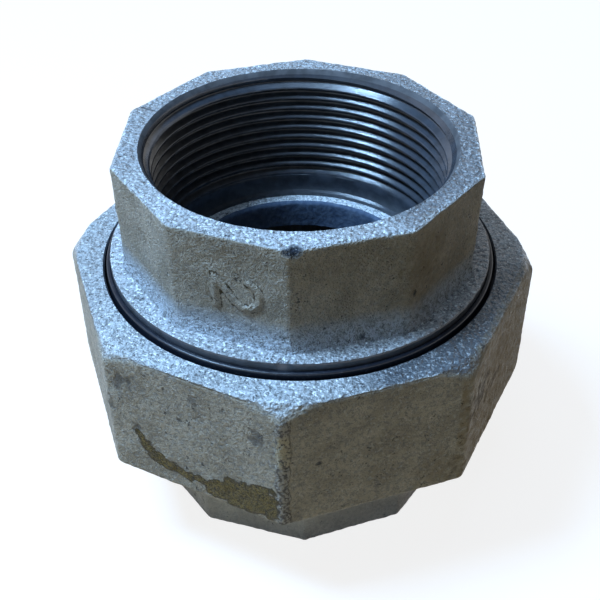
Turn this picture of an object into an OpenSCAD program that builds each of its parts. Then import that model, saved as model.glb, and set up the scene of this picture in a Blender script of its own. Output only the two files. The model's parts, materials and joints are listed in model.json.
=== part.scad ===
// Dielectric union for two-inch threaded pipe, standing upright on its lower end.
// A tailpiece with a ten-sided barrel is drawn down onto a lower body by an eight-sided union nut.
// A plastic collar keeps the nut off the tailpiece, and a rubber gasket keeps the two ends apart.
// The origin is at the middle of the lower end's face, and Z runs up the waterway.
// Widths grow outwards from the port, wall by wall, and heights grow upwards from the lower face.

/* [Pipe ports] */
// Diameter at the crests of the female pipe thread
port_crest_d = 56.66; // [50:0.01:64]
// Length of the bore at the thread's crests
port_thread_l = 21.3; // [16:0.1:25]
// Step outwards from the thread's crests to the rim of the conical mouth
mouth_step = 2.17; // [1.6:0.01:2.6]
// Depth at which that cone reaches the thread's crests
mouth_depth = 3.5; // [1.5:0.1:4]
// Step inwards from the thread's crests to the plain bore beyond the last thread
runout_step = 0.43; // [0.1:0.01:1]
// Length of the plain bore beyond the last thread
runout_l = 3.9; // [2:0.1:6]
// Step inwards of the stop ring below that bore
stop_step = 0.45; // [0.2:0.05:0.8]
// Height of the stop ring above the cast shoulder
stop_h = 1.3; // [0.9:0.1:2]
// Width of the cast shoulder between the stop ring and the waterway
shoulder_w = 2.95; // [2:0.05:5]
// Radius of the rounding where the shoulder turns down into the waterway
shoulder_r = 0.8; // [0.3:0.1:1.2]

/* [Tailpiece] */
// Sides of the barrel
barrel_sides = 10; // [8:1:12]
// Wall from the thread's crests to the flats of the barrel
barrel_wall = 5.57; // [4:0.01:7]
// Height of the barrel above the ledge
barrel_h = 22.7; // [20:0.1:28]
// Spread of the barrel's foot where it meets the ledge
foot_w = 0.6; // [0.2:0.1:1]
// Height over which the foot curves outwards
foot_h = 3; // [1:0.1:5]
// Width of the round ledge beyond the barrel's corners
ledge_w = 2.75; // [2:0.05:4]
// Radius of the rounding round the ledge
ledge_r = 0.5; // [0.3:0.1:1.4]
// Height of the ledge above the end of the collar
ledge_lift = 1.7; // [1.5:0.1:4]
// Thickness of the flange that the nut draws down
flange_t = 5; // [3.5:0.1:7]

/* [Insulating collar] */
// Play between the neck and the collar
collar_play = 0.05; // [0.03:0.01:0.1]
// Thickness of the sleeve between the neck and the nut's lip
collar_wall = 0.8; // [0.6:0.05:1.2]
// Thickness of the collar's own flange, under the nut's lip
collar_flange_t = 1.4; // [0.8:0.1:2.4]
// Height of the sleeve's end above the top of the nut
collar_stand = 0.8; // [0.4:0.1:1.2]
// Radius of the rounding at the outer edge of the sleeve's end
collar_edge_r = 0.35; // [0.1:0.05:0.5]

/* [Gasket] */
// Thickness of the gasket between the two ends
gasket_t = 3; // [1.5:0.1:5]
// Step inwards from the flange's edge to the gasket's
gasket_inset = 0.75; // [0.3:0.05:4]
// Step outwards from the waterway to the hole in the gasket
gasket_step = 0.8; // [0.2:0.1:3]

/* [Union nut] */
// Sides of the nut
nut_sides = 8; // [8:1:10]
// Gap between the collar and the nut's lip
lip_gap = 0.5; // [0.3:0.05:0.8]
// Width of the flange under the lip
lip_overlap = 1; // [0.8:0.05:2]
// Thickness of the lip that bears on the collar
lip_t = 4.6; // [3:0.1:6]
// Chamfer at both ends of the lip's opening
lip_chamfer = 0.3; // [0.1:0.1:0.4]
// Wall from the thread's pitch line to the flats of the nut
nut_wall = 2.7; // [2.2:0.05:5]
// Height of the nut's skirt below the lower body's thread
nut_skirt = 2; // [1.5:0.1:4]
// Turn of the nut about the waterway, as it was left after tightening
nut_turn = -1.3; // [-22:0.1:22]
// Step outwards from the nut's flats to where the corner chamfers begin
crown_step = 1.2; // [0.6:0.1:2]
// Drop of the corner chamfers for each millimetre outwards
crown_slope = 1.1; // [0.5:0.05:1.4]

/* [Union thread] */
// Gap between the flange and the thread's pitch line in the nut
union_gap = 0.85; // [0.7:0.05:1.5]
// Radial running clearance between the two threads
union_clearance = 0.05; // [0.02:0.01:0.09]
// Length of the thread on the lower body
union_thread_l = 14; // [10:0.1:18]
// Chamfer at the ends of both threads
union_chamfer = 0.9; // [0.4:0.1:1.2]
// Depth of the relief groove above the nut's thread
relief_depth = 0.7; // [0.3:0.1:0.9]
// Width of the relief groove
relief_w = 2.4; // [1.5:0.1:3]
// Height of the relief groove above the seat of the gasket
relief_lift = 2; // [1:0.1:3]

/* [Lower body] */
// Sides of the lower end
lower_sides = 10; // [8:1:12]
// Wall from the thread's crests to the flats of the lower end
lower_wall = 4.47; // [4:0.01:7]
// Height from the lower face to the start of the thread
lower_end_h = 23.4; // [20:0.1:30]
// Rise of the flare under the thread for each millimetre outwards
flare_slope = 0.55; // [0.4:0.05:0.8]
// Turn of the lower end about the waterway
lower_turn = 4; // [-18:0.1:18]

/* [Casting] */
// Radius along the upright corners of all three castings
corner_r = 1.6; // [1:0.1:3]
// Radius round the top and bottom edges of all three castings
edge_r = 0.8; // [0.3:0.1:0.9]

/* [Hidden] */

// Facets round a full circle
ROUND = 180;
// Steps round each corner and each rounded edge, and up the barrel's foot
CORNER_STEPS = 4;
EDGE_STEPS = 3;
FOOT_STEPS = 4;
// Overrun of every cut and depth of every buried end
PASS = 0.5;

ZINC = [0.66, 0.69, 0.73];
DARK_ZINC = [0.36, 0.37, 0.36];
BLACK_PLASTIC = [0.05, 0.05, 0.06];
BLACK_RUBBER = [0.09, 0.09, 0.09];

// Radii of the port, from its mouth to the waterway
crest_r = port_crest_d / 2;
mouth_r = crest_r + mouth_step;
runout_r = crest_r - runout_step;
stop_r = runout_r - stop_step;
waterway_r = stop_r - shoulder_w;

// Half widths across flats, and the radii that follow one another outwards to the nut's flats
lower_half = crest_r + lower_wall;
barrel_half = crest_r + barrel_wall;
neck_r = barrel_half / cos(180 / barrel_sides) + ledge_w;
collar_in_r = neck_r + collar_play;
collar_out_r = collar_in_r + collar_wall;
lip_r = collar_out_r + lip_gap;
flange_r = lip_r + lip_overlap;
union_r = flange_r + union_gap;
body_thread_r = union_r - union_clearance;
nut_half = union_r + nut_wall;

// Heights, from the lower face to the rim
seat_z = lower_end_h + union_thread_l;
flange_z = seat_z + gasket_t;
collar_z = flange_z + flange_t;
lip_z = collar_z + collar_flange_t;
nut_top = lip_z + lip_t;
nut_z = lower_end_h - nut_skirt;
sleeve_top = nut_top + collar_stand;
ledge_z = sleeve_top + ledge_lift;
rim_z = ledge_z + barrel_h;
stop_depth = mouth_depth + port_thread_l + runout_l;
shoulder_depth = stop_depth + stop_h;

// A regular polygon with rounded corners, the first of them towards -Y
function rounded_polygon(sides, apothem, r) = [
    for (i = [0 : sides - 1], k = [0 : CORNER_STEPS])
        let (
            corner = i * 360 / sides - 90,
            centre = (apothem - r) / cos(180 / sides),
            a = corner + (k / CORNER_STEPS - 0.5) * 360 / sides
        )
        [centre * cos(corner) + r * cos(a), centre * sin(corner) + r * sin(a)]
];

// Rounding over the upper edge of a casting, from its side to its top: [inset, height]
function top_round(z, r) = [
    for (k = [0 : EDGE_STEPS])
        let (a = k * 90 / EDGE_STEPS)
        [r * (1 - cos(a)), z - r * (1 - sin(a))]
];

// The same under the lower edge, from its bottom to its side
function bottom_round(z, r) = [
    for (k = [0 : EDGE_STEPS])
        let (a = 90 - k * 90 / EDGE_STEPS)
        [r * (1 - cos(a)), z + r * (1 - sin(a))]
];

// Foot that spreads outwards to the face below: a negative inset
function spread_foot(z, width, height) = [
    for (k = [0 : FOOT_STEPS])
        let (share = k / FOOT_STEPS)
        [-width * (1 - share) ^ 2, z + height * share]
];

// A many-sided casting whose side follows a list of [inset, height]
module cast_prism(sides, half, levels) {
    rings = [
        for (level = levels)
            [
                for (p = rounded_polygon(sides, half - level[0], corner_r - level[0]))
                    [p[0], p[1], level[1]]
            ]
    ];
    count = len(rings[0]);
    points = [for (ring = rings) each ring];
    walls = [
        for (j = [0 : len(levels) - 2], i = [0 : count - 1])
            let (next = (i + 1) % count)
            [j * count + i, (j + 1) * count + i, (j + 1) * count + next, j * count + next]
    ];
    floor_face = [for (i = [0 : count - 1]) i];
    roof_face = [for (i = [count - 1 : -1 : 0]) (len(levels) - 1) * count + i];
    polyhedron(points, concat([floor_face], walls, [roof_face]));
}

// A female port drilled down from z = 0: conical mouth, thread bore, run-out, stop ring, waterway
module port(waterway_l) {
    rotate_extrude($fn = ROUND)
        polygon(concat(
            [
                [0, PASS],
                [mouth_r, PASS],
                [mouth_r, 0],
                [crest_r, -mouth_depth],
                [crest_r, -mouth_depth - port_thread_l],
                [runout_r, -mouth_depth - port_thread_l],
                [runout_r, -stop_depth],
                [stop_r, -stop_depth - stop_step],
                [stop_r, -shoulder_depth]
            ],
            [
                for (k = [0 : EDGE_STEPS])
                    let (a = k * 90 / EDGE_STEPS)
                    [
                        waterway_r + shoulder_r * (1 - sin(a)),
                        -shoulder_depth - shoulder_r * (1 - cos(a))
                    ]
            ],
            [
                [waterway_r, -shoulder_depth - waterway_l],
                [0, -shoulder_depth - waterway_l]
            ]
        ));
}

// Lower casting: ten-sided end, flare, thread cylinder and flat seat for the gasket
module lower_body() {
    flare_h = (body_thread_r - lower_half) * flare_slope;
    color(DARK_ZINC)
        difference() {
            union() {
                rotate(lower_turn)
                    cast_prism(
                        lower_sides,
                        lower_half,
                        concat(bottom_round(0, edge_r), [[0, lower_end_h + PASS]])
                    );
                rotate_extrude($fn = ROUND)
                    polygon([
                        [0, lower_end_h - flare_h],
                        [lower_half, lower_end_h - flare_h],
                        [body_thread_r - union_chamfer, lower_end_h - union_chamfer * flare_slope],
                        [body_thread_r, lower_end_h + union_chamfer],
                        [body_thread_r, seat_z - union_chamfer],
                        [body_thread_r - union_chamfer, seat_z],
                        [0, seat_z]
                    ]);
            }
            rotate([180, 0, 0])
                port(seat_z - shoulder_depth + PASS);
        }
}

// Flat rubber ring that seals the two ends and keeps them electrically apart
module gasket() {
    color(BLACK_RUBBER)
        translate([0, 0, seat_z])
            difference() {
                cylinder(r = flange_r - gasket_inset, h = gasket_t, $fn = ROUND);
                translate([0, 0, -PASS])
                    cylinder(r = waterway_r + gasket_step, h = gasket_t + 2 * PASS, $fn = ROUND);
            }
}

// Upper casting: ten-sided barrel, round neck with its ledge, and the captive flange
module tailpiece() {
    color(ZINC)
        difference() {
            union() {
                cast_prism(
                    barrel_sides,
                    barrel_half,
                    concat(
                        [[-foot_w, ledge_z - PASS]],
                        spread_foot(ledge_z, foot_w, foot_h),
                        top_round(rim_z, edge_r)
                    )
                );
                rotate_extrude($fn = ROUND)
                    polygon(concat(
                        [
                            [0, flange_z],
                            [flange_r - edge_r, flange_z],
                            [flange_r, flange_z + edge_r],
                            [flange_r, collar_z],
                            [neck_r, collar_z],
                            [neck_r, ledge_z - ledge_r]
                        ],
                        [
                            for (k = [1 : EDGE_STEPS])
                                let (a = k * 90 / EDGE_STEPS)
                                [neck_r - ledge_r * (1 - cos(a)), ledge_z - ledge_r * (1 - sin(a))]
                        ],
                        [[0, ledge_z]]
                    ));
            }
            translate([0, 0, rim_z])
                port(rim_z - shoulder_depth - flange_z + PASS);
        }
}

// Plastic sleeve round the neck, with a flange that takes the nut's bearing
module insulating_collar() {
    color(BLACK_PLASTIC)
        rotate_extrude($fn = ROUND)
            polygon(concat(
                [
                    [collar_in_r, collar_z],
                    [flange_r, collar_z],
                    [flange_r, lip_z],
                    [collar_out_r, lip_z],
                    [collar_out_r, sleeve_top - collar_edge_r]
                ],
                [
                    for (k = [1 : EDGE_STEPS])
                        let (a = k * 90 / EDGE_STEPS)
                        [
                            collar_out_r - collar_edge_r * (1 - cos(a)),
                            sleeve_top - collar_edge_r * (1 - sin(a))
                        ]
                ],
                [[collar_in_r, sleeve_top]]
            ));
}

// Opening through the nut: thread bore, relief groove and the narrower lip
module nut_bore() {
    relief_z = seat_z + relief_lift;
    relief_r = union_r + relief_depth;
    rotate_extrude($fn = ROUND)
        polygon([
            [0, nut_z - PASS],
            [union_r + union_chamfer, nut_z - PASS],
            [union_r + union_chamfer, nut_z],
            [union_r, nut_z + union_chamfer],
            [union_r, relief_z],
            [relief_r, relief_z],
            [relief_r, relief_z + relief_w],
            [union_r, relief_z + relief_w],
            [union_r, lip_z],
            [lip_r + lip_chamfer, lip_z],
            [lip_r, lip_z + lip_chamfer],
            [lip_r, nut_top - lip_chamfer],
            [lip_r + lip_chamfer, nut_top],
            [lip_r + lip_chamfer, nut_top + PASS],
            [0, nut_top + PASS]
        ]);
}

// Eight-sided nut, its upper corners turned down to a shallow cone
module union_nut() {
    crown_r = nut_half + crown_step;
    reach = nut_half / cos(180 / nut_sides) - crown_r + PASS;
    color(ZINC)
        difference() {
            intersection() {
                rotate(nut_turn)
                    cast_prism(
                        nut_sides,
                        nut_half,
                        concat(bottom_round(nut_z, edge_r), top_round(nut_top, edge_r))
                    );
                rotate_extrude($fn = ROUND)
                    polygon([
                        [0, nut_z - PASS],
                        [crown_r + reach, nut_z - PASS],
                        [crown_r + reach, nut_top - reach * crown_slope],
                        [crown_r, nut_top],
                        [crown_r - PASS, nut_top + PASS],
                        [0, nut_top + PASS]
                    ]);
            }
            nut_bore();
        }
}

lower_body();
gasket();
tailpiece();
insulating_collar();
union_nut();
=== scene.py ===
import json
import math

import bmesh
import bpy
import numpy as np
from mathutils import Matrix, Vector, noise

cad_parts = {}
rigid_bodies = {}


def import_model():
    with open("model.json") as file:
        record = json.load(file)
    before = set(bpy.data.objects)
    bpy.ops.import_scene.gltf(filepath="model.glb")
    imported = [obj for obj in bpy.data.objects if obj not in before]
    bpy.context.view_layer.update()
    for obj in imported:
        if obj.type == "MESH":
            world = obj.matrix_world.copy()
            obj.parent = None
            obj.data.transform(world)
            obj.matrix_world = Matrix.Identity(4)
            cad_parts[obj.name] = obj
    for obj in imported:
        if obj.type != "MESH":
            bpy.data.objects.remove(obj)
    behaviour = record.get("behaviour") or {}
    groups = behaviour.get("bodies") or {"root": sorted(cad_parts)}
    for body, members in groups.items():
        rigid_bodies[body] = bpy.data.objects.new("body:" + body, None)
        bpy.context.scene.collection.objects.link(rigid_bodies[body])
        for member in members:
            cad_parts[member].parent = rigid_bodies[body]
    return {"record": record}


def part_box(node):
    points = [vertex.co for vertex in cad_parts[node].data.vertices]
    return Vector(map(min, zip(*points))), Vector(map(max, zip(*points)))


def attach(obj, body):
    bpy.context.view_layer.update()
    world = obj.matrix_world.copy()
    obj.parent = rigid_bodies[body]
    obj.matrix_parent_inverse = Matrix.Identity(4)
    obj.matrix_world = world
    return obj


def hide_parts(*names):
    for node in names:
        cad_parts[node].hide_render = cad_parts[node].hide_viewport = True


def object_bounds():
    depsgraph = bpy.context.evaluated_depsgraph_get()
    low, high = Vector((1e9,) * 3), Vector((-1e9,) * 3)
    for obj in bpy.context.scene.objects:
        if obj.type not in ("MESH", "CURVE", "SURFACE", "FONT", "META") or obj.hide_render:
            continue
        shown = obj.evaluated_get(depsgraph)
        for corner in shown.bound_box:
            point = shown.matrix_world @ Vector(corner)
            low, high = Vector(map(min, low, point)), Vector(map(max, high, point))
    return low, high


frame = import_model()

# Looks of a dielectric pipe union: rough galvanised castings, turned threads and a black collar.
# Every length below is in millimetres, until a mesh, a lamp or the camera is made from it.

cad_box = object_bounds()
MM = 0.001
TURN = 2 * math.pi

# Sizes read from the frame


def heights(node):
    """Lowest and highest point of a CAD node, in millimetres."""
    low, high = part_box(node)
    return low.z / MM, high.z / MM


def reach(node):
    """How far a CAD node reaches along X, in millimetres."""
    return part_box(node)[1].x / MM


MOUNTS = {mount["name"]: mount for mount in frame["record"]["mounts"]}
PORT = MOUNTS["upper_port"]
FLANGE_Z, RIM_Z = heights("tailpiece")
COLLAR_Z, SLEEVE_TOP = heights("insulating_collar")
NUT_Z, NUT_TOP = heights("union_nut")
SEAT_Z = heights("gasket")[0]
FLANGE_R = reach("insulating_collar")
GASKET_R = reach("gasket")
CREST_R = PORT["dims"]["r_mm"]
PORT_THREAD_L = PORT["dims"]["length_mm"]
MOUTH_DEPTH = RIM_Z - PORT["pos_m"][2] / MM

# Sizes that repeat those of the source

MOUTH_R = CREST_R + 2.17
RUNOUT_R = CREST_R - 0.43
RUNOUT_L = 3.9
STOP_R = RUNOUT_R - 0.45
STOP_H = 1.3
WATERWAY_R = STOP_R - 2.95
SHOULDER_ROUND = 0.8
BARREL_SIDES, BARREL_HALF = 10, CREST_R + 5.57
FOOT_W, FOOT_H = 0.6, 3.0
NECK_R = BARREL_HALF / math.cos(math.pi / BARREL_SIDES) + 2.75
LEDGE_ROUND = 0.5
LEDGE_Z = SLEEVE_TOP + 1.7
COLLAR_IN_R = NECK_R + 0.05
COLLAR_OUT_R = COLLAR_IN_R + 0.8
COLLAR_FLANGE_T = 1.4
COLLAR_EDGE_ROUND = 0.35
LIP_R = FLANGE_R - 1.0
LIP_Z = COLLAR_Z + COLLAR_FLANGE_T
LIP_CHAMFER = 0.3
NUT_SIDES, NUT_HALF, NUT_TURN = 8, FLANGE_R + 0.85 + 2.7, -1.3
CROWN_R, CROWN_SLOPE = NUT_HALF + 1.2, 1.1
UNION_R = FLANGE_R + 0.85
UNION_CHAMFER = 0.9
RELIEF_Z, RELIEF_W, RELIEF_R = SEAT_Z + 2, 2.4, UNION_R + 0.7
LOWER_SIDES, LOWER_HALF, LOWER_TURN = 10, CREST_R + 4.47, 4.0
LOWER_END_H = SEAT_Z - 14
FLARE_SLOPE = 0.55
CORNER_ROUND = 1.6
EDGE_ROUND = 0.8
GASKET_HOLE_R = WATERWAY_R + 0.8

# The barrel's draft: how far each side leans out by the rim. In the source it stands straight.
BARREL_DRAFT = 0.4

# Threads: pitch, how far the roots lie from the crests, and the height of a crest at angle zero

PIPE_PITCH = 2.309
PIPE_DEPTH = 1.47
PIPE_START = 72.93 - PIPE_PITCH / 4
UNION_PITCH = 2.0
UNION_DEPTH = 1.15
NUT_CREST_R = UNION_R - 0.55
BODY_CREST_R = UNION_R + 0.5
# Turns over which the last of a pipe thread runs out
FADE_TURNS = 1.6
# Rows of one thread: share of the pitch from a crest, and share of the depth there
THREAD_ROWS = [
    (0.00, 0.00), (0.07, 0.03), (0.13, 0.14), (0.36, 0.86), (0.43, 0.97),
    (0.50, 1.00), (0.57, 0.97), (0.64, 0.86), (0.87, 0.14), (0.93, 0.03),
]

# How finely the meshes are divided

ROUND_COLUMNS = 288
CAST_STEP = 0.42
RIM_STEP, NUT_SIDE_STEP, LOWER_STEP, WATERWAY_STEP = 0.38, 0.5, 0.6, 1.0
# Shares of the way across a plain turned face where it has rings
FACE_SHARES = (0.3, 0.6, 1)
CORNER_COLUMNS = 7
EDGE_RINGS = 5
# Edges that turn by more degrees than this are shaded as sharp
SHARP_ANGLE = 38

# Finishes, in the order of each piece's material slots
# The shaded finish is painted shade, the bright one painted light
CAST, TURNED, SHADED, BRIGHT, CUT = 0, 1, 2, 3, 4


class Ring:
    """Points that go once round the axis, at rising angles."""

    def __init__(self, first, angles, height):
        self.ids = first + np.arange(len(angles))
        self.angles = angles
        self.height = height


class Skin:
    """A closed surface built ring by ring, with how rough a casting each point is."""

    def __init__(self):
        self.points = []
        self.rough = []
        self.faces = []
        self.finish = []
        self.count = 0

    def add(self, x, y, z, rough):
        """Adds points and gives the number of the first of them."""
        first = self.count
        self.points.append(np.column_stack([x, y, z]))
        self.rough.append(np.full(len(x), float(rough)))
        self.count += len(x)
        return first

    def ring(self, angles, radius, height, rough=0.0):
        """Adds a ring. Radius and height are one number or one for each angle."""
        radius = np.broadcast_to(radius, angles.shape)
        height = np.broadcast_to(height, angles.shape)
        first = self.add(radius * np.cos(angles), radius * np.sin(angles), height, rough)
        return Ring(first, angles, float(height[0]))

    def face(self, corners, finish):
        self.faces.append(tuple(int(c) for c in corners))
        self.finish.append(finish)

    def join(self, a, b, finish=CAST):
        """Closes the band between two rings, which may have different numbers of points."""
        if len(a.ids) == len(b.ids):
            quads = np.column_stack([a.ids, b.ids, np.roll(b.ids, -1), np.roll(a.ids, -1)])
            self.faces.extend(map(tuple, quads.tolist()))
            self.finish.extend([finish] * len(quads))
            return
        ends_a = np.append(a.angles, a.angles[0] + TURN)
        ends_b = np.append(b.angles, b.angles[0] + TURN)
        i = j = 0
        while i < len(a.ids) or j < len(b.ids):
            here, there = a.ids[i % len(a.ids)], b.ids[j % len(b.ids)]
            if j == len(b.ids) or (i < len(a.ids) and ends_a[i + 1] <= ends_b[j + 1]):
                i += 1
                self.face([here, there, a.ids[i % len(a.ids)]], finish)
            else:
                j += 1
                self.face([here, there, b.ids[j % len(b.ids)]], finish)

    def chain(self, rings, finish=CAST):
        """Joins each ring to the next, and gives the last."""
        for a, b in zip(rings, rings[1:]):
            self.join(a, b, finish)
        return rings[-1]

    def thread(self, low, high, thread, finish=TURNED):
        """Closes the band between two rings with a thread whose rows follow its own helix."""
        clear = 0.04
        columns = []
        for k, angle in enumerate(low.angles):
            base = thread.start + thread.pitch * angle / TURN
            rows = []
            turn = math.floor((low.height - base) / thread.pitch) - 1
            while base + turn * thread.pitch < high.height:
                for q, (share, _) in enumerate(THREAD_ROWS):
                    z = base + (turn + share) * thread.pitch
                    if low.height + clear < z < high.height - clear:
                        rows.append((turn * len(THREAD_ROWS) + q, z))
                turn += 1
            z = np.array([row[1] for row in rows])
            r = thread.radius(np.full(len(z), angle), z)
            first = self.add(r * math.cos(angle), r * math.sin(angle), z, 0)
            column = [(-math.inf, low.ids[k])]
            column += [(row[0], first + n) for n, row in enumerate(rows)]
            columns.append(column + [(math.inf, high.ids[k])])
        seam = [(label - len(THREAD_ROWS), point) for label, point in columns[0]]
        for left, right in zip(columns, columns[1:] + [seam]):
            i = j = 0
            while i < len(left) - 1 or j < len(right) - 1:
                a = left[i + 1][0] if i < len(left) - 1 else math.inf
                b = right[j + 1][0] if j < len(right) - 1 else math.inf
                here, there = left[i][1], right[j][1]
                if a == b:
                    self.face([here, left[i + 1][1], right[j + 1][1], there], finish)
                    i += 1
                    j += 1
                elif a < b:
                    self.face([here, left[i + 1][1], there], finish)
                    i += 1
                else:
                    self.face([here, right[j + 1][1], there], finish)
                    j += 1


class Thread:
    """A right-hand thread. Depth is positive where the roots lie outside the crests."""

    def __init__(self, pitch, start, crest_r, depth, trim=None):
        self.pitch = pitch
        self.start = start
        self.crest_r = crest_r
        self.depth = depth
        self.trim = trim

    def radius(self, angles, z):
        """Distance of the thread's surface from the axis, after its ends are trimmed."""
        share = ((z - self.start) / self.pitch - angles / TURN) % 1.0
        places = [row[0] for row in THREAD_ROWS] + [1.0]
        depths = [row[1] for row in THREAD_ROWS] + [0.0]
        r = self.crest_r + self.depth * np.interp(share, places, depths)
        return self.trim(r, z) if self.trim else r


# Outlines of the castings


def round_angles():
    """Angles of the columns round a turned surface."""
    return -TURN / 4 + np.arange(ROUND_COLUMNS) * TURN / ROUND_COLUMNS


def polygon_angles(sides, half, turn):
    """Angles of the columns round a casting: even along each flat, close at each corner."""
    pitch = TURN / sides
    centre = (half - CORNER_ROUND) / math.cos(pitch / 2)
    arc = np.linspace(-pitch / 2, pitch / 2, CORNER_COLUMNS)
    corner = np.arctan2(CORNER_ROUND * np.sin(arc), centre + CORNER_ROUND * np.cos(arc))
    flat_end = (half - CORNER_ROUND) * math.tan(pitch / 2)
    places = np.linspace(-flat_end, flat_end, round(2 * flat_end / CAST_STEP) + 1)[1:-1]
    flat = pitch / 2 + np.arctan(places / half)
    first = math.radians(turn) - TURN / 4
    one_side = np.append(corner, flat)
    return np.concatenate([first + side * pitch + one_side for side in range(sides)])


def polygon_radius(angles, sides, half, corner, turn):
    """Distance from the axis to a rounded polygon in the direction of each angle."""
    pitch = TURN / sides
    off = np.abs((angles - math.radians(turn) + TURN / 4 + pitch / 2) % pitch - pitch / 2)
    centre = (half - corner) / math.cos(pitch / 2)
    arc_end = math.atan2(corner * math.sin(pitch / 2), centre + corner * math.cos(pitch / 2))
    inside = np.maximum(corner**2 - (centre * np.sin(off)) ** 2, 0)
    on_arc = centre * np.cos(off) + np.sqrt(inside)
    return np.where(off < arc_end, on_arc, half / np.cos(pitch / 2 - off))


def quarter(count=EDGE_RINGS):
    """Sine and cosine of angles over a quarter turn, for rounded edges."""
    angles = np.linspace(0, TURN / 4, count)
    return list(zip(np.sin(angles), np.cos(angles)))


def shares(length, step=CAST_STEP):
    """Shares from 0 to 1, without both ends, that divide a length into steps."""
    return np.linspace(0, 1, max(round(length / step), 1) + 1)[1:-1]


# Ports


def port(skin, mouth_z, inward):
    """A female port from its mouth inwards along Z. Gives its first and its last ring."""
    angles = round_angles()

    def at(depth):
        return mouth_z + inward * depth

    thread_end = MOUTH_DEPTH + PORT_THREAD_L
    stop_depth = thread_end + RUNOUT_L

    def cone(depth):
        """Radius of the conical mouth."""
        return MOUTH_R - (MOUTH_R - CREST_R) * depth / MOUTH_DEPTH

    def trim(r, z):
        """Cuts the first threads with the cone, and lets the last run out into the plain bore."""
        depth = np.abs(z - mouth_z)
        left = np.clip((thread_end - depth) / (FADE_TURNS * PIPE_PITCH), 0, 1)
        return np.maximum(RUNOUT_R + (r - RUNOUT_R) * np.sqrt(left), cone(depth))

    thread = Thread(PIPE_PITCH, PIPE_START, CREST_R, PIPE_DEPTH, trim)
    mouth = skin.ring(angles, MOUTH_R, mouth_z, 0.6)
    # The thread starts a little above where its roots meet the cone
    cone_end = 0.9 * MOUTH_DEPTH * (1 - PIPE_DEPTH / (MOUTH_R - CREST_R))
    first_turn = skin.ring(angles, cone(cone_end), at(cone_end))
    skin.chain([mouth, skin.ring(angles, cone(0.3), at(0.3)), first_turn], CUT)
    last_turn = skin.ring(angles, RUNOUT_R, at(thread_end))
    if inward < 0:
        skin.thread(last_turn, first_turn, thread)
    else:
        skin.thread(first_turn, last_turn, thread)
    stop_step = RUNOUT_R - STOP_R
    plain = [
        last_turn,
        skin.ring(angles, RUNOUT_R, at((thread_end + stop_depth) / 2)),
        skin.ring(angles, RUNOUT_R, at(stop_depth)),
        skin.ring(angles, STOP_R, at(stop_depth + stop_step)),
        skin.ring(angles, STOP_R, at(stop_depth + STOP_H), 0.3),
    ]
    skin.chain(plain, TURNED)
    edge = WATERWAY_R + SHOULDER_ROUND
    shoulder = [plain[-1]]
    for share in shares(STOP_R - edge):
        radius = STOP_R + (edge - STOP_R) * share
        shoulder.append(skin.ring(angles, radius, at(stop_depth + STOP_H), 1))
    shoulder.append(skin.ring(angles, edge, at(stop_depth + STOP_H), 1))
    skin.chain(shoulder, BRIGHT)
    turn_down = [shoulder[-1]]
    for sine, cosine in quarter()[1:]:
        radius = edge - SHOULDER_ROUND * sine
        depth = stop_depth + STOP_H + SHOULDER_ROUND * (1 - cosine)
        turn_down.append(skin.ring(angles, radius, at(depth), 1))
    skin.chain(turn_down, SHADED)
    return mouth, turn_down[-1]


# Castings


def tailpiece():
    """Ten-sided barrel on a round neck with a ledge, and the flange that the nut draws down."""
    skin = Skin()
    mouth, waterway = port(skin, RIM_Z, -1)
    angles = polygon_angles(BARREL_SIDES, BARREL_HALF, 0)

    def outline(inset):
        return polygon_radius(angles, BARREL_SIDES, BARREL_HALF - inset, CORNER_ROUND - inset, 0)

    rings = [mouth]

    def rough(radius, height):
        rings.append(skin.ring(angles, radius, height, 1))

    top = outline(EDGE_ROUND - BARREL_DRAFT)
    for share in shares(BARREL_HALF - MOUTH_R, RIM_STEP):
        rough(MOUTH_R + (top - MOUTH_R) * share, RIM_Z)
    for sine, cosine in quarter():
        inset = EDGE_ROUND * (1 - sine) - BARREL_DRAFT
        rough(outline(inset), RIM_Z - EDGE_ROUND * (1 - cosine))
    side_top, side_end = RIM_Z - EDGE_ROUND, LEDGE_Z + FOOT_H
    for share in shares(side_top - side_end):
        height = side_top + (side_end - side_top) * share
        rough(outline(-BARREL_DRAFT * (1 - share)), height)
    for share in np.linspace(0, 1, 8):
        rough(outline(-FOOT_W * share**2), LEDGE_Z + FOOT_H * (1 - share))
    foot, edge = outline(-FOOT_W), NECK_R - LEDGE_ROUND
    for share in shares(NECK_R - BARREL_HALF - FOOT_W):
        rough(foot + (edge - foot) * share, LEDGE_Z)
    for sine, cosine in quarter():
        rough(edge + LEDGE_ROUND * sine, LEDGE_Z - LEDGE_ROUND * (1 - cosine))
    skin.chain(rings[:-2])
    turned = [
        *rings[-3:],
        skin.ring(angles, NECK_R, SLEEVE_TOP),
        skin.ring(angles, NECK_R, COLLAR_Z),
        skin.ring(angles, FLANGE_R, COLLAR_Z),
        skin.ring(angles, FLANGE_R, FLANGE_Z + EDGE_ROUND),
    ]
    for sine, cosine in quarter()[1:]:
        radius = FLANGE_R - EDGE_ROUND * (1 - cosine)
        turned.append(skin.ring(angles, radius, FLANGE_Z + EDGE_ROUND * (1 - sine)))
    for share in FACE_SHARES:
        radius = FLANGE_R - EDGE_ROUND + (WATERWAY_R - FLANGE_R + EDGE_ROUND) * share
        turned.append(skin.ring(round_angles(), radius, FLANGE_Z))
    skin.chain(turned, TURNED)
    close_waterway(skin, turned[-1], waterway)
    return skin


def close_waterway(skin, end, waterway):
    """Joins the waterway's rough wall to the face that it opens in."""
    rings = [end]
    length = waterway.height - end.height
    for share in shares(abs(length), WATERWAY_STEP):
        rings.append(skin.ring(round_angles(), WATERWAY_R, end.height + length * share, 1))
    skin.chain(rings + [waterway], SHADED)


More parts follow.
